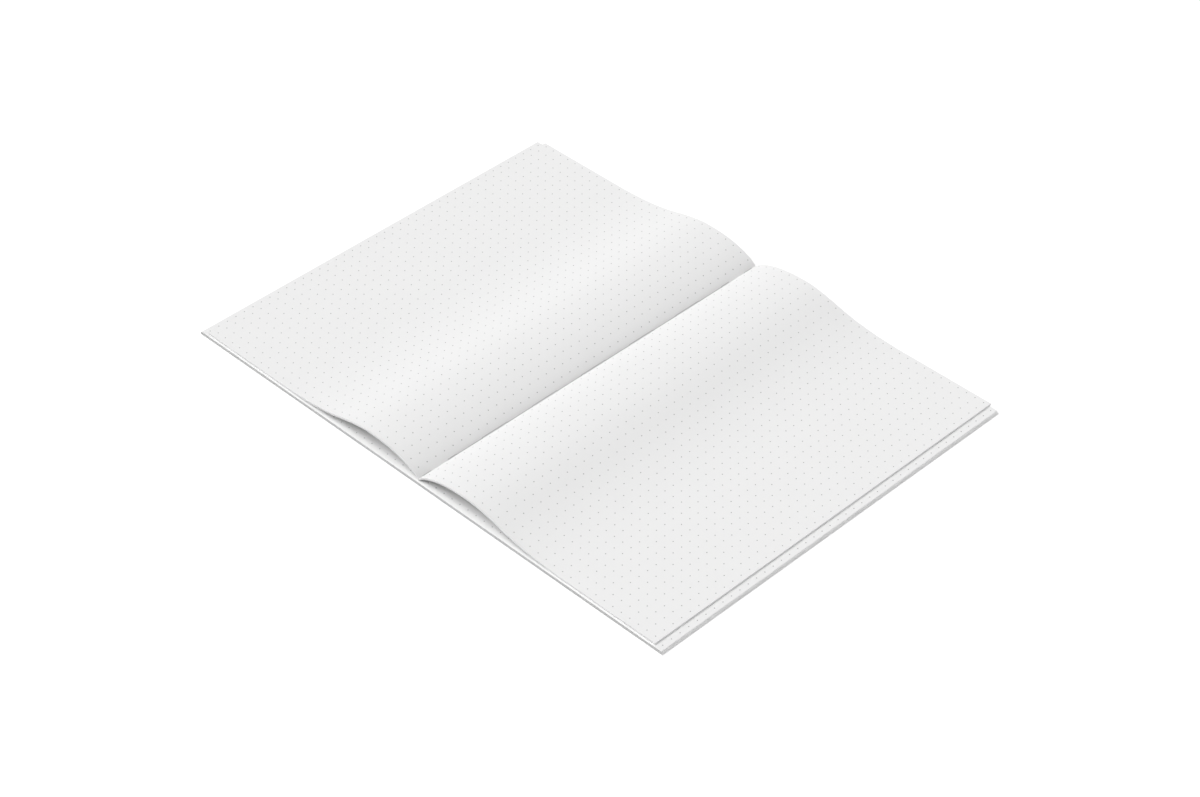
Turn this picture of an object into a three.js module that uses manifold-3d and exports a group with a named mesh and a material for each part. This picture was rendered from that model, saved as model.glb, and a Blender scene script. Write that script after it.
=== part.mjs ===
// A dot-grid notebook sewn through its fold, lying open at its middle spread.
// Millimetres. The fold runs along Y, +X points over the right page, +Y up the page and +Z up.
// The origin is on the table, under the middle of the fold.

import * as THREE from 'three';
import { mergeVertices } from 'three/addons/utils/BufferGeometryUtils.js';
import Module from 'manifold-3d';

const wasm = await Module();
wasm.setup();

// Driving dimensions: the sheets
const pageHeight = 210;
const coverReach = 144.6;
const coverThickness = 0.34;
const paperThickness = 0.13;
const airGap = 0.01;
const flatSheetCount = 9;
const archedSheetCount = 7;

// The flat sheets are trimmed together with the cover while the notebook is closed, so a sheet is shorter the nearer
// it lies to the middle. At height h over the table it is shorter than the cover by creepRate * h * h.
// The arched sheets end flush with each other, at archedReach from the fold. They have slipped along the fold and lie
// archedSlip further up the page than the flat ones.
const creepRate = 0.4;
const archedReach = 139.4;
const archedSlip = 0.9;

// Driving dimensions: the arch of the upper sheets, as heights above the level where they lie flat
const gutterSlope = 1.1;
const shoulderDistance = 5;
const shoulderHeight = 3.5;
const shoulderSlope = 0.45;
const crestDistance = 30;
const crestHeight = 8;
const fallDistance = 50.5;
const fallHeight = 4.45;
const fallSlope = -0.27;
const landingDistance = 90;
const stepsToShoulder = 4;
const stepsToCrest = 7;
const stepsToFall = 5;
const stepsToLanding = 6;

// Driving dimensions: the two threads, sewn through the fold side by side. Each is a running stitch, and one is inside
// where the other is outside, so a line of thread runs all along the fold on both sides.
const threadDiameter = 0.3;
const threadOffset = 0.17;
const threadSides = 6;
const stitchPitch = 15;
const stitchHoleCount = 14;
const tailLength = 5;
const threadBend = 0.3;
const bendSteps = 2;
const threadLift = 0.02;
const threadClearance = 0.1;
const gutterClearance = 0.05;
const holeSides = 6;

// Levels that follow from the sizes above
const threadRadius = threadDiameter / 2;
const sheetPitch = paperThickness + airGap;
const firstLevel = coverThickness + airGap;
const topLevel = firstLevel + (flatSheetCount + archedSheetCount) * sheetPitch - airGap;
const outerRunLevel = threadLift + threadRadius;
const valleySlopeLength = Math.sqrt(1 + gutterSlope * gutterSlope);
const gutterSide = topLevel + gutterSlope * threadOffset;
const innerRunLevel = gutterSide + threadRadius * valleySlopeLength + gutterClearance;
const threadRoom = threadOffset + threadRadius + threadClearance;

// Finishes
const paperFinish = new THREE.MeshStandardMaterial({ color: 0xf1f1f0, roughness: 0.9, metalness: 0 });
const coverFinish = new THREE.MeshStandardMaterial({ color: 0xf3f3f2, roughness: 0.7, metalness: 0 });
const threadFinish = new THREE.MeshStandardMaterial({ color: 0xc9c9c8, roughness: 0.8, metalness: 0 });

// The arch is four cubic spans: fold to shoulder, shoulder to crest, crest to the steepest fall, and from there to
// where it lands.
const archKnots = [
  { distance: 0, height: 0, slope: gutterSlope },
  { distance: shoulderDistance, height: shoulderHeight, slope: shoulderSlope },
  { distance: crestDistance, height: crestHeight, slope: 0 },
  { distance: fallDistance, height: fallHeight, slope: fallSlope },
  { distance: landingDistance, height: 0, slope: 0 },
];
const spanSteps = [stepsToShoulder, stepsToCrest, stepsToFall, stepsToLanding];

function spanHeight(from, to, share) {
  const length = to.distance - from.distance;
  const square = share * share;
  const cube = square * share;
  return (2 * cube - 3 * square + 1) * from.height
    + (cube - 2 * square + share) * length * from.slope
    + (3 * square - 2 * cube) * to.height
    + (cube - square) * length * to.slope;
}

// The points of the arch from the fold to where it lands, as Vector2(distance, height)
function archPoints() {
  const points = [];
  spanSteps.forEach((steps, span) => {
    const from = archKnots[span];
    const to = archKnots[span + 1];
    const firstStep = span === 0 ? 0 : 1;
    for (let step = firstStep; step <= steps; step += 1) {
      const share = step / steps;
      const distance = from.distance + share * (to.distance - from.distance);
      points.push(new THREE.Vector2(distance, spanHeight(from, to, share)));
    }
  });
  return points;
}

const arch = archPoints();

// The length of a flat sheet from the fold to its fore edge, at a height above the table
function flatReach(level) {
  return coverReach - creepRate * level * level;
}

// Conversions between three.js geometries and solids that can be cut
function toSolid(geometry) {
  const bare = geometry.clone();
  bare.deleteAttribute('normal');
  bare.deleteAttribute('uv');
  const merged = mergeVertices(bare);
  const mesh = new wasm.Mesh({
    numProp: 3,
    vertProperties: Float32Array.from(merged.attributes.position.array),
    triVerts: Uint32Array.from(merged.index.array),
  });
  return new wasm.Manifold(mesh);
}

function toGeometry(solid) {
  const mesh = solid.getMesh();
  const geometry = new THREE.BufferGeometry();
  geometry.setAttribute('position', new THREE.BufferAttribute(Float32Array.from(mesh.vertProperties), 3));
  geometry.setIndex(new THREE.BufferAttribute(Uint32Array.from(mesh.triVerts), 1));
  geometry.computeVertexNormals();
  return geometry;
}

// A sheet's section, drawn as distance from the fold and height, run along the whole page height. The sheet's middle
// lies slip up the page.
function extrudedSection(outline, slip) {
  const geometry = new THREE.ExtrudeGeometry(new THREE.Shape(outline), {
    depth: pageHeight,
    steps: 1,
    bevelEnabled: false,
  });
  geometry.rotateX(Math.PI / 2);
  geometry.translate(0, pageHeight / 2 + slip, 0);
  return geometry;
}

function flatOutline(side, reach, thickness) {
  return [
    new THREE.Vector2(0, 0),
    new THREE.Vector2(side * reach, 0),
    new THREE.Vector2(side * reach, thickness),
    new THREE.Vector2(0, thickness),
  ];
}

function archedOutline(side, reach, thickness) {
  const line = [...arch, new THREE.Vector2(reach, 0)];
  const lower = line.map((point) => new THREE.Vector2(side * point.x, point.y));
  const upper = line.map((point) => new THREE.Vector2(side * point.x, point.y + thickness));
  return [...lower, ...upper.reverse()];
}

// Where the thread goes through the fold, up the page
const stitchPlaces = Array.from(
  { length: stitchHoleCount },
  (_, index) => (index - (stitchHoleCount - 1) / 2) * stitchPitch,
);

// A hole through every sheet
function stitchHole(place) {
  const height = 2 * (topLevel + crestHeight);
  const geometry = new THREE.CylinderGeometry(threadRoom, threadRoom, height, holeSides);
  geometry.rotateX(Math.PI / 2);
  geometry.translate(0, place, 0);
  return toSolid(geometry);
}

// The groove that the outer runs of both threads press into the fold
function runGroove() {
  const length = (stitchHoleCount - 1) * stitchPitch;
  return toSolid(new THREE.BoxGeometry(2 * threadRoom, length, 2 * topLevel));
}

const stitchHoles = stitchPlaces.map(stitchHole);
const fullLengthGroove = runGroove();

// The outer runs lie in the fold, so what they reach is open along them.
function pierced(geometry, level) {
  const reachedByOuterRun = level < outerRunLevel + threadRadius;
  const cutters = reachedByOuterRun ? [...stitchHoles, fullLengthGroove] : stitchHoles;
  return toGeometry(cutters.reduce((solid, cutter) => solid.subtract(cutter), toSolid(geometry)));
}

function sheetMesh(name, outline, slip, level, finish) {
  const mesh = new THREE.Mesh(pierced(extrudedSection(outline, slip), level), finish);
  mesh.name = name;
  mesh.position.z = level;
  return mesh;
}

function coverMesh(name, side) {
  return sheetMesh(name, flatOutline(side, coverReach, coverThickness), -archedSlip / 2, 0, coverFinish);
}

function leafMesh(sideName, side, number) {
  const level = firstLevel + (number - 1) * sheetPitch;
  const name = `${sideName}_leaf_${String(number).padStart(2, '0')}`;
  if (number > flatSheetCount) {
    return sheetMesh(name, archedOutline(side, archedReach, paperThickness), archedSlip / 2, level, paperFinish);
  }
  return sheetMesh(name, flatOutline(side, flatReach(level), paperThickness), -archedSlip / 2, level, paperFinish);
}

// One side of the notebook: its half of the cover and its half of every sheet
function halfNotebook(sideName, side, coverName) {
  const half = new THREE.Group();
  half.add(coverMesh(coverName, side));
  for (let number = 1; number <= flatSheetCount + archedSheetCount; number += 1) {
    half.add(leafMesh(sideName, side, number));
  }
  return half;
}

// The middle line of a thread, as Vector2(place up the page, height). It starts and ends in a tail in the gutter,
// and at each of its holes it goes through the fold to the other side.
function threadLine(places) {
  const line = new THREE.Path();
  line.moveTo(places[0] - tailLength, innerRunLevel);
  places.forEach((place, index) => {
    const goesDown = index % 2 === 0;
    const from = goesDown ? innerRunLevel : outerRunLevel;
    const to = goesDown ? outerRunLevel : innerRunLevel;
    const bend = goesDown ? -threadBend : threadBend;
    line.lineTo(place - threadBend, from);
    line.quadraticCurveTo(place, from, place, from + bend);
    line.lineTo(place, to - bend);
    line.quadraticCurveTo(place, to, place + threadBend, to);
  });
  line.lineTo(places[places.length - 1] + tailLength, innerRunLevel);
  return line.getPoints(bendSteps);
}

// The direction of a line at one of its points, between the stretches before and after it
function directionAt(line, index) {
  const point = line[index];
  const direction = new THREE.Vector2();
  if (index > 0) {
    direction.add(point.clone().sub(line[index - 1]).normalize());
  }
  if (index < line.length - 1) {
    direction.add(line[index + 1].clone().sub(point).normalize());
  }
  return direction.normalize();
}

// A round thread along its line, in rings joined by quads, with a flat cut at both ends
function threadGeometry(line) {
  const positions = [];
  line.forEach((point, index) => {
    const direction = directionAt(line, index);
    for (let side = 0; side < threadSides; side += 1) {
      const angle = (2 * Math.PI * side) / threadSides;
      const across = threadRadius * Math.cos(angle);
      const outward = threadRadius * Math.sin(angle);
      positions.push(across, point.x - outward * direction.y, point.y + outward * direction.x);
    }
  });
  const indices = [];
  for (let ring = 0; ring < line.length - 1; ring += 1) {
    for (let side = 0; side < threadSides; side += 1) {
      const here = ring * threadSides + side;
      const beside = ring * threadSides + ((side + 1) % threadSides);
      indices.push(here, beside + threadSides, beside);
      indices.push(here, here + threadSides, beside + threadSides);
    }
  }
  const lastRing = (line.length - 1) * threadSides;
  for (let side = 1; side < threadSides - 1; side += 1) {
    indices.push(0, side, side + 1);
    indices.push(lastRing, lastRing + side + 1, lastRing + side);
  }
  const geometry = new THREE.BufferGeometry();
  geometry.setAttribute('position', new THREE.Float32BufferAttribute(positions, 3));
  geometry.setIndex(indices);
  geometry.computeVertexNormals();
  return geometry;
}

function threadMesh(name, x, places) {
  const mesh = new THREE.Mesh(threadGeometry(threadLine(places)), threadFinish);
  mesh.name = name;
  mesh.position.x = x;
  return mesh;
}

// The right thread uses every hole. The left one leaves out the first and the last, so it changes sides in between.
function threadPair() {
  const pair = new THREE.Group();
  pair.add(threadMesh('right_thread', threadOffset, stitchPlaces));
  pair.add(threadMesh('left_thread', -threadOffset, stitchPlaces.slice(1, -1)));
  return pair;
}

const notebook = new THREE.Group();
notebook.add(halfNotebook('right', 1, 'back_cover'));
notebook.add(halfNotebook('left', -1, 'front_cover'));
notebook.add(threadPair());

export default notebook;
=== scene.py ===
"""Looks of the dot-grid notebook that lies open at its middle spread.

The shared frame has the fold along Y, +X over the right page and Z up, with the origin on the
table under the middle of the fold.
"""
import math

import bpy
import numpy as np
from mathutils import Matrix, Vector

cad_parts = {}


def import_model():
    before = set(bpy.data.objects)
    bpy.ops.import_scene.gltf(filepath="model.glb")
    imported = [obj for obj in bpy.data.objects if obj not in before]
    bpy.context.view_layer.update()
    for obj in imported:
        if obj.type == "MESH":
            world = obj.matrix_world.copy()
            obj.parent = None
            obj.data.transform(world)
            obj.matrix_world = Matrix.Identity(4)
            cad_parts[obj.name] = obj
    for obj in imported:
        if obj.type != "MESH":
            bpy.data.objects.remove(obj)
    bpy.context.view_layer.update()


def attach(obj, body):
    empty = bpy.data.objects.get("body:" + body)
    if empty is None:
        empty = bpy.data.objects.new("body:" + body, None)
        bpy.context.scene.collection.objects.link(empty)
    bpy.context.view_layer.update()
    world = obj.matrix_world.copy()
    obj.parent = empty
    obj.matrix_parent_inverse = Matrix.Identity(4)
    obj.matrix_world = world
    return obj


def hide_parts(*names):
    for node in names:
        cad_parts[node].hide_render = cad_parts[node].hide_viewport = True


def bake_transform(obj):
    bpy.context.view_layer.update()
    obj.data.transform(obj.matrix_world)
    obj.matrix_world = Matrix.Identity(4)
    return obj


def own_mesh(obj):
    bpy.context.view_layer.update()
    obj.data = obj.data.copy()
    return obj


MM = 0.001

# Sizes repeated from the CAD source: the sheets. ARCHED_SLIP is how far the upper bundle has
# slipped up the page on the lower stack.
PAGE_HEIGHT = 210.0
COVER_REACH = 144.6
COVER_THICKNESS = 0.34
PAPER_THICKNESS = 0.13
AIR_GAP = 0.01
FLAT_SHEETS = 9
ARCHED_SHEETS = 7
CREEP_RATE = 0.4
ARCHED_REACH = 139.4
ARCHED_SLIP = 0.9

# Sizes repeated from the CAD source: the arch as (distance, height, slope) at its knots
ARCH_KNOTS = (
    (0.0, 0.0, 1.1),
    (5.0, 3.5, 0.45),
    (30.0, 8.0, 0.0),
    (50.5, 4.45, -0.27),
    (90.0, 0.0, 0.0),
)
ARCH_TABLE_SIZE = 721

# Sizes repeated from the CAD source: the two threads
THREAD_RADIUS = 0.15
THREAD_OFFSET = 0.17
STITCH_PITCH = 15.0
STITCH_HOLES = 14
TAIL_LENGTH = 5.0
THREAD_BEND = 0.3
THREAD_LIFT = 0.02
GUTTER_CLEARANCE = 0.05

SHEET_PITCH = PAPER_THICKNESS + AIR_GAP
FIRST_LEVEL = COVER_THICKNESS + AIR_GAP
ALL_SHEETS = FLAT_SHEETS + ARCHED_SHEETS
FOLD_HEIGHT = FIRST_LEVEL + ALL_SHEETS * SHEET_PITCH - AIR_GAP

# The fold. A flat sheet's stations are finer over a width in step with its distance from the
# fold's axis. An arched sheet bends over a narrow strip.
BEND_SHARE = 0.7
HALF_BEND_STEPS = 7
CREASE_DEPTH = 0.06
CREASE_WIDTH = 0.35
HOLE_REACH = 0.36
STRIP_REACH = 0.06
STRIP_STEPS = 6

# Longest steps of the meshes: across an arch, across flat paper and along the page
ARCH_STEP = 1.25
FLAT_STEP = 12.0
ROW_STEP = 17.5
SHARP_ANGLE = 40.0

# The printed dots. Columns are counted from the outermost one, rows from the one at the foot of
# the page. The lower sheets carry a grid of their own. No dot of theirs is printed closer to the
# fold than INNER_MARGIN.
DOT_RADIUS = 0.26
DOT_RIM = 0.03
ROW_PITCH = 5.0
TOP_FIRST_ROW = -101.43
LOW_FIRST_ROW = -102.4
LAST_ROW = 41
MOST_COLUMNS = 60
TOP_OUTER_COLUMN = 136.81
TOP_COLUMN_PITCH = {"right": 4.81, "left": 5.0}
LOW_OUTER_COLUMN = {"right": 141.7, "left": 141.45}
LOW_COLUMN_PITCH = {"right": 4.93, "left": 4.97}
INNER_MARGIN = 3.4
OFF_GRID = -1.0
HALF_CELL = 0.5

# Finishes, as linear albedo. The cut edges of paper and card carry painted light and shade, as
# lit and shaded copies of one finish: the fore edges on the right are painted lighter than the
# page, and the fore edges on the left, which catch more light, and the head and foot ends are
# painted darker, those of the lower stack and the cover darkest.
PAGE_WHITE = 0.862
ARCH_END_PAINTED_SHADE = 0.8
STACK_END_PAINTED_SHADE = 0.55
FORE_EDGE_PAINTED_LIGHT = 0.96
LEFT_FORE_EDGE_PAINTED_SHADE = 0.78
CARD_WHITE = 0.85
DOT_GREY = 0.33
# The thread is painted grey, as shade in the gutter where it lies.
THREAD_PAINTED_SHADE = 0.58

# Camera, at the photo's viewing angle
CAMERA_PLACE = (720.4, -715.73, 833.4)
CAMERA_AZIMUTH = 45.03
CAMERA_ELEVATION = 39.87
CAMERA_LENS = 89.05
SENSOR_WIDTH = 36.0
NEAREST_SEEN = 10.0

# Light. At a level of 1, a surface that faces a lamp renders in its own colour.
SKY_LEVEL = 0.06
KEY_LEVEL = 0.92
KEY_DIRECTION = (-0.36, -0.36, 0.86)
LEFT_FILL_LEVEL = 0.18
LEFT_FILL_DIRECTION = (-0.95, 0.0, 0.31)
RIGHT_FILL_LEVEL = 0.27
RIGHT_FILL_DIRECTION = (0.95, 0.0, 0.31)
LAMP_ANGLE = 50.0

# Floor. The camera sees it as a dim matt tone plus a glow, so that it is white with a faint
# shadow.
FLOOR_SIZE = 6000.0
FLOOR_DROP = 0.05
FLOOR_TONE = 0.93
FLOOR_SEEN_TONE = 0.35
FLOOR_SEEN_GLOW = 0.76


# Shapes shared by all sheets

def span_height(start, end, share):
    """The height of a cubic span between two knots of the arch."""
    length = end[0] - start[0]
    square = share * share
    cube = square * share
    return (
        (2 * cube - 3 * square + 1) * start[1]
        + (cube - 2 * square + share) * length * start[2]
        + (3 * square - 2 * cube) * end[1]
        + (cube - square) * length * end[2]
    )


def arch_height(distance):
    """How far the arch rises over a sheet's flat level, at a distance from the fold."""
    for start, end in zip(ARCH_KNOTS, ARCH_KNOTS[1:]):
        if distance <= end[0]:
            return span_height(start, end, (distance - start[0]) / (end[0] - start[0]))
    return 0.0


def travelled_lengths(first, second):
    """The lengths of a line up to each of its points, from its two coordinates."""
    return np.concatenate([[0], np.cumsum(np.hypot(np.diff(first), np.diff(second)))])


def arch_table():
    """Distances from the fold and the lengths of paper up to them, over the arch."""
    distances = np.linspace(0, ARCH_KNOTS[-1][0], ARCH_TABLE_SIZE)
    heights = np.array([arch_height(distance) for distance in distances])
    return distances, travelled_lengths(distances, heights)


ARCH_DISTANCES, ARCH_LENGTHS = arch_table()
ARCH_GAIN = ARCH_LENGTHS[-1] - ARCH_DISTANCES[-1]


def paper_length(distance):
    """The length of arched paper from the fold to a distance from it."""
    if distance >= ARCH_DISTANCES[-1]:
        return distance + ARCH_GAIN
    return float(np.interp(distance, ARCH_DISTANCES, ARCH_LENGTHS))


def sheet_level(number):
    """The height of the lower side of a sheet, where it lies flat. Sheet 1 is the lowest."""
    return FIRST_LEVEL + (number - 1) * SHEET_PITCH


def flat_reach(level):
    """How far a flat sheet reaches from the fold. Inner sheets of a folded stack creep inwards."""
    return COVER_REACH - CREEP_RATE * level * level


def stitch_places():
    """The places of the stitch holes along the fold."""
    middle = (STITCH_HOLES - 1) / 2
    return [(index - middle) * STITCH_PITCH for index in range(STITCH_HOLES)]


def between(start, end, step):
    """Places from start to end, no further apart than step."""
    count = max(1, math.ceil(abs(end - start) / step))
    return [start + (end - start) * index / count for index in range(count + 1)]


def page_ends(slip):
    """The foot and the head of a sheet whose middle lies slip up the page."""
    return slip - PAGE_HEIGHT / 2, slip + PAGE_HEIGHT / 2


def hole_rows(slip):
    """Rows along the fold, with a pair of rows round each stitch hole."""
    rows = [*page_ends(slip)]
    for place in stitch_places():
        rows += [place - HOLE_REACH, place + HOLE_REACH]
    return sorted(rows)


def in_stitch_hole(x, y):
    """Whether a place lies in one of the stitch holes."""
    return abs(x) < HOLE_REACH and any(abs(y - place) < HOLE_REACH for place in stitch_places())


def in_run_groove(x, y):
    """Whether a place lies in the groove that the threads' outer runs press into the fold."""
    places = stitch_places()
    return abs(x) < HOLE_REACH and places[0] - HOLE_REACH < y < places[-1] + HOLE_REACH


# Meshes

PAGE_FACE, END_FACE, FORE_FACE, LEFT_FORE_FACE = 0, 1, 2, 3


def sheet_faces(stations, rows, is_open):
    """The faces of a sheet as ((station, row, upper), ...) corners with their kind."""

    def open_cell(i, j):
        x = (stations[i]["x"] + stations[i + 1]["x"]) / 2
        y = (rows[j] + rows[j + 1]) / 2
        return is_open(x, y)

    cells = [(i, j) for i in range(len(stations) - 1) for j in range(len(rows) - 1)]
    solid = {cell for cell in cells if not open_cell(*cell)}
    for i, j in sorted(solid):
        yield PAGE_FACE, ((i, j, 1), (i + 1, j, 1), (i + 1, j + 1, 1), (i, j + 1, 1))
        yield PAGE_FACE, ((i, j, 0), (i, j + 1, 0), (i + 1, j + 1, 0), (i + 1, j, 0))
        if (i, j - 1) not in solid:
            yield END_FACE, ((i, j, 0), (i + 1, j, 0), (i + 1, j, 1), (i, j, 1))
        if (i, j + 1) not in solid:
            yield END_FACE, ((i + 1, j + 1, 0), (i, j + 1, 0), (i, j + 1, 1), (i + 1, j + 1, 1))
        if (i - 1, j) not in solid:
            yield LEFT_FORE_FACE, ((i, j + 1, 0), (i, j, 0), (i, j, 1), (i, j + 1, 1))
        if (i + 1, j) not in solid:
            yield FORE_FACE, ((i + 1, j, 0), (i + 1, j + 1, 0), (i + 1, j + 1, 1), (i + 1, j, 1))


def sheet_object(name, stations, rows, first_row, materials, is_open=lambda x, y: False):
    """A sheet as a closed solid. The materials are those of its pages, its ends and its fore edges
    on the right and on the left."""
    numbers, corners, faces, kinds, coordinates = {}, [], [], [], []
    for kind, face in sheet_faces(stations, rows, is_open):
        for key in face:
            place, row = stations[key[0]], rows[key[1]]
            if key not in numbers:
                numbers[key] = len(corners)
                corners.append((place["x"], row, place["high"] if key[2] else place["low"]))
            coordinates += [place["column"], (row - first_row) / ROW_PITCH]
        faces.append([numbers[key] for key in face])
        kinds.append(kind)
    mesh = bpy.data.meshes.new(name)
    mesh.from_pydata([[value * MM for value in corner] for corner in corners], [], faces)
    mesh.polygons.foreach_set("material_index", kinds)
    mesh.uv_layers.new(name="dot_grid").data.foreach_set("uv", coordinates)
    return finished_object(name, mesh, materials)


def finished_object(name, mesh, materials):
    """An object in the scene from a mesh, shaded smooth between its sharp corners."""
    mesh.polygons.foreach_set("use_smooth", [True] * len(mesh.polygons))
    mesh.set_sharp_from_angle(angle=math.radians(SHARP_ANGLE))
    mesh.validate()
    mesh.update()
    piece = bpy.data.objects.new(name, mesh)
    for material in materials:
        mesh.materials.append(material)
    bpy.context.scene.collection.objects.link(piece)
    return piece


# Materials. Scales of the grain are per metre, and bump distances are in metres.

PAPER_MOTTLE = {"scale": 90, "detail": 4}
PAPER_MOTTLE_DEPTH = 0.006
PAPER_WARMTH = 0.001
PAPER_FINISH = {"Roughness": 0.92, "Specular IOR Level": 0.2}
FINE_FIBRES = {"scale": 2600, "detail": 3}
COARSE_FIBRES = {"scale": 620, "detail": 2, "stretch": (1, 0.55, 1)}
FINE_SHARE, COARSE_SHARE = 0.6, 0.4
FIBRE_BUMP = {"strength": 0.12, "distance": 0.00003}
INK_GRAIN = {"scale": 3000, "detail": 2}
INK_DEPTH = 0.04

BLADE_STROKES = {"scale": 900, "detail": 3, "stretch": (1, 1, 0.15)}
DARK_STROKE, LIGHT_STROKE = 0.97, 1.03
LIGHTEST_EDGE = 0.97
EDGE_FINISH = {"Roughness": 0.95, "Specular IOR Level": 0.15}
LOOSE_FIBRES = {"scale": 3200, "detail": 3}
LOOSE_FIBRE_BUMP = {"strength": 0.25, "distance": 0.00003}

CARD_MOTTLE = {"scale": 45, "detail": 5}
CARD_MOTTLE_DEPTH = 0.012
CARD_WARMTH = 0.002
CARD_GLOSS = {"Specular IOR Level": 0.35}
HANDLING_MARKS = {"scale": 18, "detail": 3}
HANDLED_ROUGHNESS, CLEAN_ROUGHNESS = 0.55, 0.72
CARD_GRAIN = {"scale": 1500, "detail": 4}
CARD_BUMP = {"strength": 0.1, "distance": 0.00002}

COTTON_HAIRS = {"scale": 6000, "detail": 3, "stretch": (1, 0.3, 1)}
HAIR_SHADE, HAIR_LIGHT = 0.06, 0.04
COTTON_WARMTH = 0.005
COTTON_FINISH = {"Roughness": 0.8, "Sheen Weight": 0.2}
COTTON_BUMP = {"strength": 0.3, "distance": 0.00002}


class Shader:
    """A material with one Principled shader and short ways to add nodes to it."""

    def __init__(self, name):
        self.material = bpy.data.materials.new(name)
        self.material.use_nodes = True
        self.nodes = self.material.node_tree.nodes
        self.links = self.material.node_tree.links
        self.surface = self.nodes["Principled BSDF"]

    def node(self, kind, **settings):
        """A new node with some of its properties set."""
        made = self.nodes.new(kind)
        for key, value in settings.items():
            setattr(made, key, value)
        return made

    def join(self, value, socket):
        """Links an output to a socket, or sets the socket to a number."""
        if isinstance(value, bpy.types.NodeSocket):
            self.links.new(value, socket)
        else:
            socket.default_value = value

    def math(self, operation, *values):
        """The result of a sum on outputs or numbers."""
        made = self.node("ShaderNodeMath", operation=operation)
        for value, socket in zip(values, made.inputs):
            self.join(value, socket)
        return made.outputs[0]

    def noise(self, place, scale, detail, stretch=(1, 1, 1)):
        """Noise from 0 to 1 over a place, drawn out along the axes with a small stretch."""
        mapping = self.node("ShaderNodeMapping")
        mapping.inputs["Scale"].default_value = stretch
        self.join(place, mapping.inputs["Vector"])
        made = self.node("ShaderNodeTexNoise")
        self.join(mapping.outputs[0], made.inputs["Vector"])
        made.inputs["Scale"].default_value = scale
        made.inputs["Detail"].default_value = detail
        return made.outputs["Fac"]

    def tone(self, factor, low, high):
        """A colour that runs from one grey to another with a factor from 0 to 1."""
        ramp = self.node("ShaderNodeValToRGB")
        self.join(factor, ramp.inputs["Fac"])
        ramp.color_ramp.elements[0].color = (*low, 1)
        ramp.color_ramp.elements[1].color = (*high, 1)
        return ramp.outputs["Color"]

    def bump(self, height, strength, distance):
        """Roughens the surface by a height from 0 to 1."""
        made = self.node("ShaderNodeBump")
        made.inputs["Strength"].default_value = strength
        made.inputs["Distance"].default_value = distance
        self.join(height, made.inputs["Height"])
        self.join(made.outputs[0], self.surface.inputs["Normal"])

    def mix(self, factor, first, second):
        """The first colour where the factor is 0 and the second where it is 1."""
        made = self.node("ShaderNodeMix", data_type="RGBA")
        self.join(factor, made.inputs["Factor"])
        self.join(first, made.inputs["A"])
        self.join(second, made.inputs["B"])
        return made.outputs["Result"]

    def finish(self, values):
        """Sets sockets of the surface that are the same all over it."""
        for name, value in values.items():
            self.surface.inputs[name].default_value = value

    def object_place(self):
        """The place on the object, in metres."""
        return self.node("ShaderNodeTexCoord").outputs["Object"]


def grey(level, warmth=0.0):
    """A grey as linear red, green and blue, slightly warm if asked."""
    return (level * (1 + warmth), level, level * (1 - warmth))


def fibre_height(shader, place):
    """Short paper fibres at two sizes, as a height from 0 to 1."""
    fine = shader.noise(place, **FINE_FIBRES)
    coarse = shader.noise(place, **COARSE_FIBRES)
    fine_part = shader.math("MULTIPLY", fine, FINE_SHARE)
    coarse_part = shader.math("MULTIPLY", coarse, COARSE_SHARE)
    return shader.math("ADD", fine_part, coarse_part)


def dot_share(shader):
    """1 inside a printed dot and 0 outside, with a soft rim, from the page's place in the grid."""
    grid = shader.node("ShaderNodeUVMap", uv_map="dot_grid").outputs["UV"]
    split = shader.node("ShaderNodeSeparateXYZ")
    shader.join(grid, split.inputs[0])
    column, row = split.outputs[0], split.outputs[1]
    off_column = shader.math("SUBTRACT", column, shader.math("ROUND", column))
    off_row = shader.math("SUBTRACT", row, shader.math("ROUND", row))
    column_square = shader.math("POWER", off_column, 2.0)
    row_square = shader.math("POWER", off_row, 2.0)
    off_square = shader.math("ADD", column_square, row_square)
    distance = shader.math("MULTIPLY", shader.math("SQRT", off_square), ROW_PITCH)
    rim = shader.node("ShaderNodeMapRange", interpolation_type="SMOOTHSTEP")
    shader.join(distance, rim.inputs["Value"])
    rim.inputs["From Min"].default_value = DOT_RADIUS + DOT_RIM
    rim.inputs["From Max"].default_value = DOT_RADIUS - DOT_RIM
    inside = rim.outputs["Result"]
    for value, high in ((column, MOST_COLUMNS), (row, LAST_ROW + HALF_CELL)):
        inside = shader.math("MULTIPLY", inside, shader.math("GREATER_THAN", value, -HALF_CELL))
        inside = shader.math("MULTIPLY", inside, shader.math("LESS_THAN", value, high))
    return inside


def page_material():
    """Uncoated white paper with a printed dot grid."""
    shader = Shader("dot_grid_paper")
    place = shader.object_place()
    paper = shader.tone(
        shader.noise(place, **PAPER_MOTTLE),
        grey(PAGE_WHITE - PAPER_MOTTLE_DEPTH, PAPER_WARMTH),
        grey(PAGE_WHITE + PAPER_MOTTLE_DEPTH, PAPER_WARMTH),
    )
    ink_grain = shader.noise(place, **INK_GRAIN)
    ink = shader.tone(ink_grain, grey(DOT_GREY - INK_DEPTH), grey(DOT_GREY + INK_DEPTH))
    shader.join(shader.mix(dot_share(shader), paper, ink), shader.surface.inputs["Base Color"])
    shader.finish(PAPER_FINISH)
    shader.bump(fibre_height(shader, place), **FIBRE_BUMP)
    return shader.material


def cut_edge_material(name, level):
    """The cut edge of paper, with faint strokes of the trimming blade and loose fibres."""
    # The level is a painted tone: lighter than the page for painted light, darker for painted
    # shade.
    shader = Shader(name)
    place = shader.object_place()
    strokes = shader.noise(place, **BLADE_STROKES)
    lightest = min(level * LIGHT_STROKE, LIGHTEST_EDGE)
    colour = shader.tone(strokes, grey(level * DARK_STROKE), grey(lightest))
    shader.join(colour, shader.surface.inputs["Base Color"])
    shader.finish(EDGE_FINISH)
    shader.bump(shader.noise(place, **LOOSE_FIBRES), **LOOSE_FIBRE_BUMP)
    return shader.material


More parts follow.
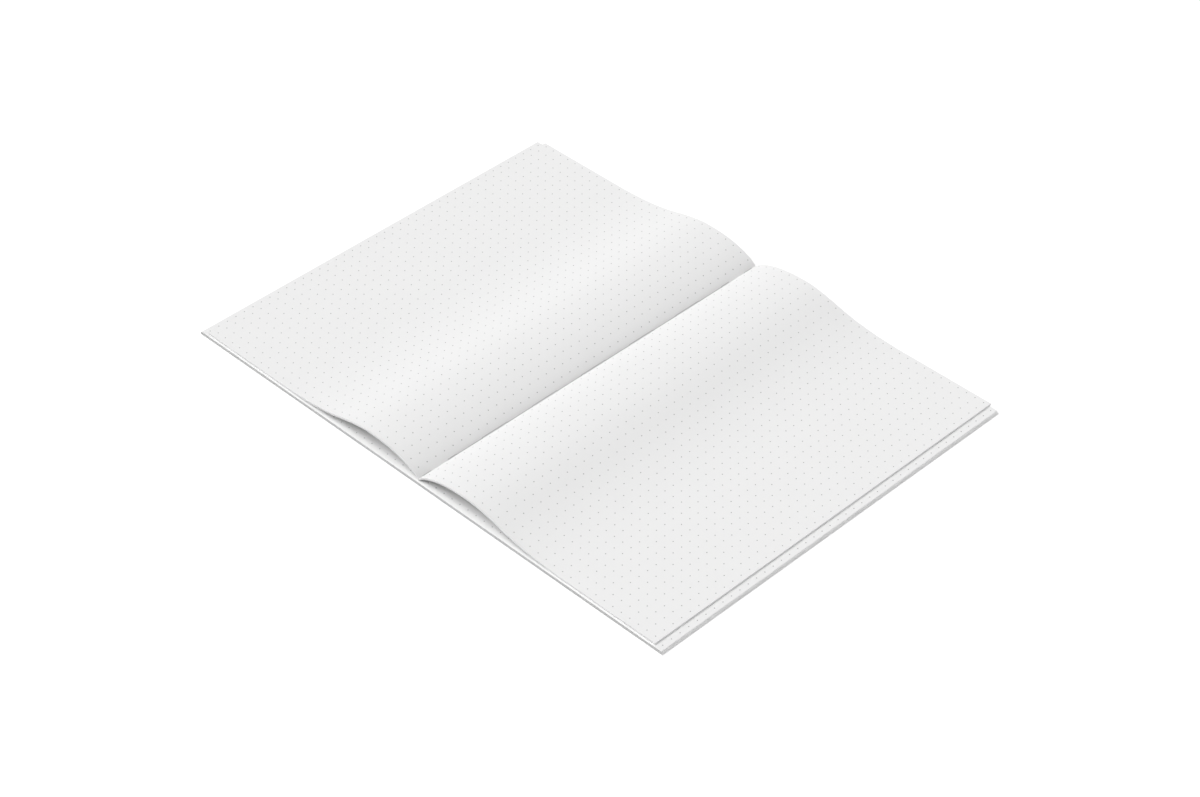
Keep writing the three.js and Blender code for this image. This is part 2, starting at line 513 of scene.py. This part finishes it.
def card_material():
    """Smooth white cover card with a faint mottle and small handling marks in its gloss."""
    shader = Shader("cover_card")
    place = shader.object_place()
    colour = shader.tone(
        shader.noise(place, **CARD_MOTTLE),
        grey(CARD_WHITE - CARD_MOTTLE_DEPTH, CARD_WARMTH),
        grey(CARD_WHITE + CARD_MOTTLE_DEPTH, CARD_WARMTH),
    )
    shader.join(colour, shader.surface.inputs["Base Color"])
    handled = shader.node("ShaderNodeMapRange")
    shader.join(shader.noise(place, **HANDLING_MARKS), handled.inputs["Value"])
    handled.inputs["To Min"].default_value = HANDLED_ROUGHNESS
    handled.inputs["To Max"].default_value = CLEAN_ROUGHNESS
    shader.join(handled.outputs["Result"], shader.surface.inputs["Roughness"])
    shader.finish(CARD_GLOSS)
    shader.bump(shader.noise(place, **CARD_GRAIN), **CARD_BUMP)
    return shader.material


def thread_material():
    """Cotton thread with fine hairs, painted grey as shade in the gutter."""
    shader = Shader("cotton_thread_painted_shade")
    place = shader.object_place()
    hairs = shader.noise(place, **COTTON_HAIRS)
    colour = shader.tone(
        hairs,
        grey(THREAD_PAINTED_SHADE - HAIR_SHADE, COTTON_WARMTH),
        grey(THREAD_PAINTED_SHADE + HAIR_LIGHT, COTTON_WARMTH),
    )
    shader.join(colour, shader.surface.inputs["Base Color"])
    shader.finish(COTTON_FINISH)
    shader.bump(hairs, **COTTON_BUMP)
    return shader.material


# The sheets

def station(x, low, high, column):
    """A line along a sheet: its place across the notebook, the heights of its lower and its upper
    side, and its place in the dot grid, counted in columns."""
    return {"x": x, "low": low, "high": high, "column": column}


def low_column(x):
    """The place in the dot grid of a flat sheet, at x across the notebook."""
    side = "right" if x > 0 else "left"
    if abs(x) < INNER_MARGIN:
        return OFF_GRID
    return (LOW_OUTER_COLUMN[side] - abs(x)) / LOW_COLUMN_PITCH[side]


def top_column(side, distance):
    """The place in the dot grid of an arched leaf, at a distance from the fold."""
    outer = paper_length(TOP_OUTER_COLUMN)
    return (outer - paper_length(distance)) / TOP_COLUMN_PITCH[side]


def bend_reach(middle_height):
    """How far from the fold a flat sheet's stations are finer, from the height of its middle."""
    return BEND_SHARE * (FOLD_HEIGHT - middle_height)


def folded_stations(level, thickness, reach, crease):
    """Stations of a sheet that lies flat on both sides of the fold, finer near the fold."""
    bend = bend_reach(level + thickness / 2)
    bent = between(0, bend, bend / HALF_BEND_STEPS)
    half = sorted({*between(INNER_MARGIN, reach, FLAT_STEP), HOLE_REACH, *bent})
    places = sorted({0.0, *half, *[-x for x in half]})

    def lower_side(x):
        return level + crease * max(0.0, 1 - abs(x) / CREASE_WIDTH)

    return [station(x, lower_side(x), level + thickness, low_column(x)) for x in places]


def bend_over_fold(piece):
    """Bakes a flat sheet's place into its mesh."""
    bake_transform(piece)


def folded_cover(materials):
    """The cover, one card that passes under the fold."""
    stations = folded_stations(0.0, COVER_THICKNESS, COVER_REACH, CREASE_DEPTH)

    def is_open(x, y):
        return in_stitch_hole(x, y) or in_run_groove(x, y)

    rows = hole_rows(-ARCHED_SLIP / 2)
    piece = sheet_object("folded_cover", stations, rows, TOP_FIRST_ROW, materials, is_open)
    bend_over_fold(piece)
    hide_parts("back_cover", "front_cover")


def flat_sheet(number, materials):
    """A sheet of the lower stack, one piece of paper from fore edge to fore edge."""
    level = sheet_level(number)
    stations = folded_stations(level, PAPER_THICKNESS, flat_reach(level), 0.0)

    def is_open(x, y):
        return in_stitch_hole(x, y) or (number == 1 and in_run_groove(x, y))

    name, rows = f"flat_sheet_{number:02d}", hole_rows(-ARCHED_SLIP / 2)
    piece = sheet_object(name, stations, rows, LOW_FIRST_ROW, materials, is_open)
    bend_over_fold(piece)
    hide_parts(f"right_leaf_{number:02d}", f"left_leaf_{number:02d}")


def arched_station(side, distance, level):
    """A station of an arched leaf, at a distance from the fold."""
    sign = 1 if side == "right" else -1
    low = level + arch_height(distance)
    return station(sign * distance, low, low + PAPER_THICKNESS, top_column(side, distance))


def fold_strip(number, materials):
    """The narrow strip of an arched sheet that bends at the fold."""
    level = sheet_level(number)
    distances = between(0, STRIP_REACH, STRIP_REACH / STRIP_STEPS)
    stations = [arched_station("left", distance, level) for distance in reversed(distances[1:])]
    stations += [arched_station("right", distance, level) for distance in distances]
    name, rows = f"fold_strip_{number:02d}", hole_rows(ARCHED_SLIP / 2)
    piece = sheet_object(name, stations, rows, TOP_FIRST_ROW, materials, in_stitch_hole)
    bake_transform(piece)


def leaf_part(name, side, number, distances, materials):
    """The part of an arched leaf that lies over the given distances from the fold."""
    stations = [arched_station(side, distance, sheet_level(number)) for distance in distances]
    if side == "left":
        stations.reverse()
    rows = between(*page_ends(ARCHED_SLIP / 2), ROW_STEP)
    piece = sheet_object(f"{side}_{name}_{number:02d}", stations, rows, TOP_FIRST_ROW, materials)
    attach(piece, f"{side}_top_leaf" if number == ALL_SHEETS else f"{side}_half")
    return piece


def arched_leaf(side, number, materials):
    """One side of an arched sheet: its arch, with its own mesh, and its page past the landing."""
    landing = ARCH_KNOTS[-1][0]
    arch = leaf_part("arch", side, number, between(STRIP_REACH, landing, ARCH_STEP), materials)
    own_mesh(arch)
    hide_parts(f"{side}_leaf_{number:02d}")
    leaf_part("page", side, number, between(landing, ARCHED_REACH, FLAT_STEP), materials)


# The threads. A twist of the two plies takes PLY_TURN of the thread's length.

PLY_SIDES = 12
PLY_STEP = 0.16
PLY_TURN = 1.3
PLY_DEPTH = 0.16
CURVE_SHARES = (0.0, 0.25, 0.5, 0.75, 1.0)


def thread_line(places):
    """The middle line of a thread through the holes at places, as (y, z) points."""
    gutter_slope = ARCH_KNOTS[0][2]
    outer = THREAD_LIFT + THREAD_RADIUS
    inner = FOLD_HEIGHT + gutter_slope * THREAD_OFFSET
    inner += THREAD_RADIUS * math.hypot(1, gutter_slope)
    inner += GUTTER_CLEARANCE
    line = [(places[0] - TAIL_LENGTH, inner)]
    for index, place in enumerate(places):
        start, end = (inner, outer) if index % 2 == 0 else (outer, inner)
        bend = math.copysign(THREAD_BEND, end - start)
        for share in CURVE_SHARES:
            line.append((place - THREAD_BEND * (1 - share) ** 2, start + bend * share ** 2))
        for share in CURVE_SHARES:
            line.append((place + THREAD_BEND * share ** 2, end - bend * (1 - share) ** 2))
    line.append((places[-1] + TAIL_LENGTH, inner))
    return np.array(line)


def thread_rings(x, places):
    """A thread's surface as rings of points: two plies twisted about the middle line."""
    line = thread_line(places)
    lengths = travelled_lengths(line[:, 0], line[:, 1])
    count = math.ceil(lengths[-1] / PLY_STEP)
    travelled = np.linspace(0, lengths[-1], count + 1)
    middle = np.stack([np.interp(travelled, lengths, line[:, axis]) for axis in (0, 1)], axis=1)
    direction = np.gradient(middle, axis=0)
    direction /= np.linalg.norm(direction, axis=1)[:, None]
    angles = np.arange(PLY_SIDES) * 2 * math.pi / PLY_SIDES
    twist = 2 * math.pi * travelled[:, None] / PLY_TURN
    radius = THREAD_RADIUS * (1 - PLY_DEPTH * np.sin(angles[None, :] - twist) ** 2)
    across = x + radius * np.cos(angles)
    outward = radius * np.sin(angles)
    y = middle[:, :1] - outward * direction[:, 1:]
    z = middle[:, 1:] + outward * direction[:, :1]
    return np.stack([across, y, z], axis=2)


def binding_thread(side, x, places, material):
    """A sewing thread, in a running stitch through the fold."""
    rings = thread_rings(x, places)
    count = len(rings)
    faces = []
    for ring in range(count - 1):
        for facet in range(PLY_SIDES):
            here = ring * PLY_SIDES + facet
            beside = ring * PLY_SIDES + (facet + 1) % PLY_SIDES
            faces.append((here, here + PLY_SIDES, beside + PLY_SIDES, beside))
    faces.append(tuple(range(PLY_SIDES)))
    faces.append(tuple(reversed(range((count - 1) * PLY_SIDES, count * PLY_SIDES))))
    mesh = bpy.data.meshes.new(f"sewn_{side}_thread")
    mesh.from_pydata((rings.reshape(-1, 3) * MM).tolist(), [], faces)
    piece = finished_object(f"sewn_{side}_thread", mesh, [material])
    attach(piece, "threads")
    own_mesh(piece)
    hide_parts(f"{side}_thread")


# Floor, light and camera

def floor_material():
    """A pale floor. The camera sees it as white, apart from the object's faint shadow."""
    shader = Shader("studio_floor")
    shader.nodes.remove(shader.surface)
    lit = shader.node("ShaderNodeBsdfDiffuse")
    lit.inputs["Color"].default_value = (*grey(FLOOR_TONE), 1)
    seen = shader.node("ShaderNodeBsdfDiffuse")
    seen.inputs["Color"].default_value = (*grey(FLOOR_SEEN_TONE), 1)
    glow = shader.node("ShaderNodeEmission")
    glow.inputs["Strength"].default_value = FLOOR_SEEN_GLOW
    both = shader.node("ShaderNodeAddShader")
    shader.join(seen.outputs[0], both.inputs[0])
    shader.join(glow.outputs[0], both.inputs[1])
    choice = shader.node("ShaderNodeMixShader")
    shader.join(direct_share(shader), choice.inputs[0])
    shader.join(lit.outputs[0], choice.inputs[1])
    shader.join(both.outputs[0], choice.inputs[2])
    shader.join(choice.outputs[0], shader.nodes["Material Output"].inputs["Surface"])
    return shader.material


def direct_share(shader):
    """1 for rays of the camera, of mirrors and of glass, and 0 for those that carry the light."""
    path = shader.node("ShaderNodeLightPath")
    either = shader.math("MAXIMUM", path.outputs["Is Camera Ray"], path.outputs["Is Glossy Ray"])
    return shader.math("MAXIMUM", either, path.outputs["Is Transmission Ray"])


def floor():
    """A broad floor, a little under the notebook."""
    half = FLOOR_SIZE / 2 * MM
    height = -FLOOR_DROP * MM
    mesh = bpy.data.meshes.new("studio_floor")
    corners = [(x * half, y * half, height) for x, y in ((-1, -1), (1, -1), (1, 1), (-1, 1))]
    mesh.from_pydata(corners, [], [(0, 1, 2, 3)])
    piece = finished_object("studio_floor", mesh, [floor_material()])


class WorldShader(Shader):
    """The same short ways for the nodes of the world."""

    def __init__(self, world):
        world.use_nodes = True
        self.nodes = world.node_tree.nodes
        self.links = world.node_tree.links


def sky():
    """An even white sky, seen as pure white."""
    world = bpy.data.worlds.new("studio_sky")
    bpy.context.scene.world = world
    shader = WorldShader(world)
    light = shader.nodes["Background"]
    light.inputs["Color"].default_value = (1, 1, 1, 1)
    light.inputs["Strength"].default_value = SKY_LEVEL
    seen = shader.node("ShaderNodeBackground")
    seen.inputs["Color"].default_value = (1, 1, 1, 1)
    seen.inputs["Strength"].default_value = 1.0
    choice = shader.node("ShaderNodeMixShader")
    shader.join(direct_share(shader), choice.inputs[0])
    shader.join(light.outputs[0], choice.inputs[1])
    shader.join(seen.outputs[0], choice.inputs[2])
    shader.join(choice.outputs[0], shader.nodes["World Output"].inputs["Surface"])


def soft_lamp(name, level, direction):
    """A broad soft lamp that shines from a direction."""
    lamp = bpy.data.lights.new(name, "SUN")
    lamp.energy = level * math.pi
    lamp.angle = math.radians(LAMP_ANGLE)
    holder = bpy.data.objects.new(name, lamp)
    holder.rotation_euler = Vector(direction).to_track_quat("Z", "Y").to_euler()
    bpy.context.scene.collection.objects.link(holder)


def camera():
    """The camera, with no shift and no depth of field."""
    azimuth, elevation = math.radians(CAMERA_AZIMUTH), math.radians(CAMERA_ELEVATION)
    back = Vector((
        math.sin(azimuth) * math.cos(elevation),
        -math.cos(azimuth) * math.cos(elevation),
        math.sin(elevation),
    ))
    lens = bpy.data.cameras.new("camera")
    lens.lens = CAMERA_LENS
    lens.sensor_fit = "HORIZONTAL"
    lens.sensor_width = SENSOR_WIDTH
    lens.clip_start = NEAREST_SEEN * MM
    holder = bpy.data.objects.new("camera", lens)
    holder.location = Vector(CAMERA_PLACE) * MM
    holder.rotation_euler = back.to_track_quat("Z", "Y").to_euler()
    bpy.context.scene.collection.objects.link(holder)
    bpy.context.scene.camera = holder


def studio():
    """The camera, the floor, the light and the plain view transform."""
    camera()
    floor()
    sky()
    soft_lamp("key_light", KEY_LEVEL, KEY_DIRECTION)
    soft_lamp("left_fill", LEFT_FILL_LEVEL, LEFT_FILL_DIRECTION)
    soft_lamp("right_fill", RIGHT_FILL_LEVEL, RIGHT_FILL_DIRECTION)
    bpy.context.scene.view_settings.view_transform = "Standard"


def sheets():
    """The cover and the sheets, from the lowest up."""
    page = page_material()
    # The cut edges get lit and shaded copies of one finish, with painted light and shade in their
    # tones.
    fore = cut_edge_material("fore_edge_painted_light", FORE_EDGE_PAINTED_LIGHT)
    left_fore_shade = cut_edge_material("fore_edge_on_left_painted_shade", LEFT_FORE_EDGE_PAINTED_SHADE)
    stack_end_shade = cut_edge_material("stack_head_and_foot_painted_shade", STACK_END_PAINTED_SHADE)
    arch_end_shade = cut_edge_material("arch_head_and_foot_painted_shade", ARCH_END_PAINTED_SHADE)
    card = card_material()
    folded_cover([card, stack_end_shade, fore, left_fore_shade])
    for number in range(1, FLAT_SHEETS + 1):
        flat_sheet(number, [page, stack_end_shade, fore, left_fore_shade])
    for number in range(FLAT_SHEETS + 1, ALL_SHEETS + 1):
        fold_strip(number, [page, arch_end_shade, fore, left_fore_shade])
        for side in ("right", "left"):
            arched_leaf(side, number, [page, arch_end_shade, fore, left_fore_shade])


def threads():
    """The two sewing threads. The left one leaves out the outermost holes."""
    thread = thread_material()
    binding_thread("right", THREAD_OFFSET, stitch_places(), thread)
    binding_thread("left", -THREAD_OFFSET, stitch_places()[1:-1], thread)


def main():
    """Builds the scene round the CAD model."""
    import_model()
    studio()
    sheets()
    threads()


main()
